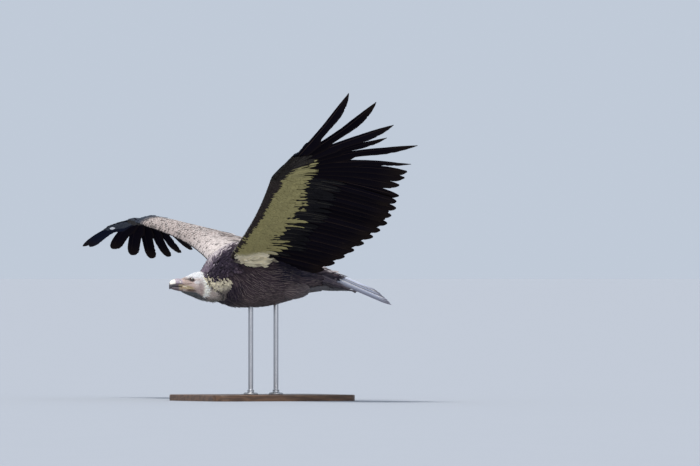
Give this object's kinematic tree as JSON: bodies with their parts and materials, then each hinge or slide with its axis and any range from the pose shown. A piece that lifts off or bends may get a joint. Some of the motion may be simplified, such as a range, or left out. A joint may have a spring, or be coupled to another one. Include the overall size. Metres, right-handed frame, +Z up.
{
  "type": "griffon vulture in flight on a display stand",
  "caption": "Still, life-size griffon vulture in banking flight, wings spread and flight feathers fanned, held over a flat base by short rods.",
  "frame": {"origin": "middle of the stand base's underside, on the floor", "axes": "-X is where the bird heads, +Y is its right side, +Z is up"},
  "size_m": [0.8882, 2.426, 1.1011],
  "materials": {
    "body": "dark purplish brown body feathers with thin pale shafts",
    "down": "short white down over grey skin",
    "ruff": "loose cream ruff feathers",
    "neck": "thin greyish down",
    "horn": "dark grey horn with a pale ridge",
    "eye": "wet dark brown eye",
    "covert": "beige and cream wing coverts",
    "flight": "blackish flight feathers",
    "tail": "weathered grey tail feathers",
    "skin": "grey scaly skin of the legs and feet",
    "stand": "satin steel rods",
    "base": "dark oiled wood board"
  },
  "bodies": {
    "root": {"alula_left": "flight", "alula_right": "flight", "bill_lower": "horn", "bill_upper": "horn", "eye_left": "eye", "eye_right": "eye", "foot_left": "skin", "foot_right": "skin", "forearm_left": "covert", "forearm_right": "covert", "hand_left": "covert", "hand_right": "covert", "head": "down", "neck": "neck", "primary_left_01": "flight", "primary_left_02": "flight", "primary_left_03": "flight", "primary_left_04": "flight", "primary_left_05": "flight", "primary_left_06": "flight", "primary_left_07": "flight", "primary_left_08": "flight", "primary_left_09": "flight", "primary_left_10": "flight", "primary_right_01": "flight", "primary_right_02": "flight", "primary_right_03": "flight", "primary_right_04": "flight", "primary_right_05": "flight", "primary_right_06": "flight", "primary_right_07": "flight", "primary_right_08": "flight", "primary_right_09": "flight", "primary_right_10": "flight", "ruff": "ruff", "secondaries_left": "flight", "secondaries_right": "flight", "stand_base": "base", "stand_rod_1": "stand", "stand_rod_2": "stand", "tail": "tail", "tarsus_left": "skin", "tarsus_right": "skin", "thigh_left": "body", "thigh_right": "body", "trunk": "body", "undertail_coverts": "body", "upper_arm_left": "covert", "upper_arm_right": "covert"}
  },
  "joints": []
}
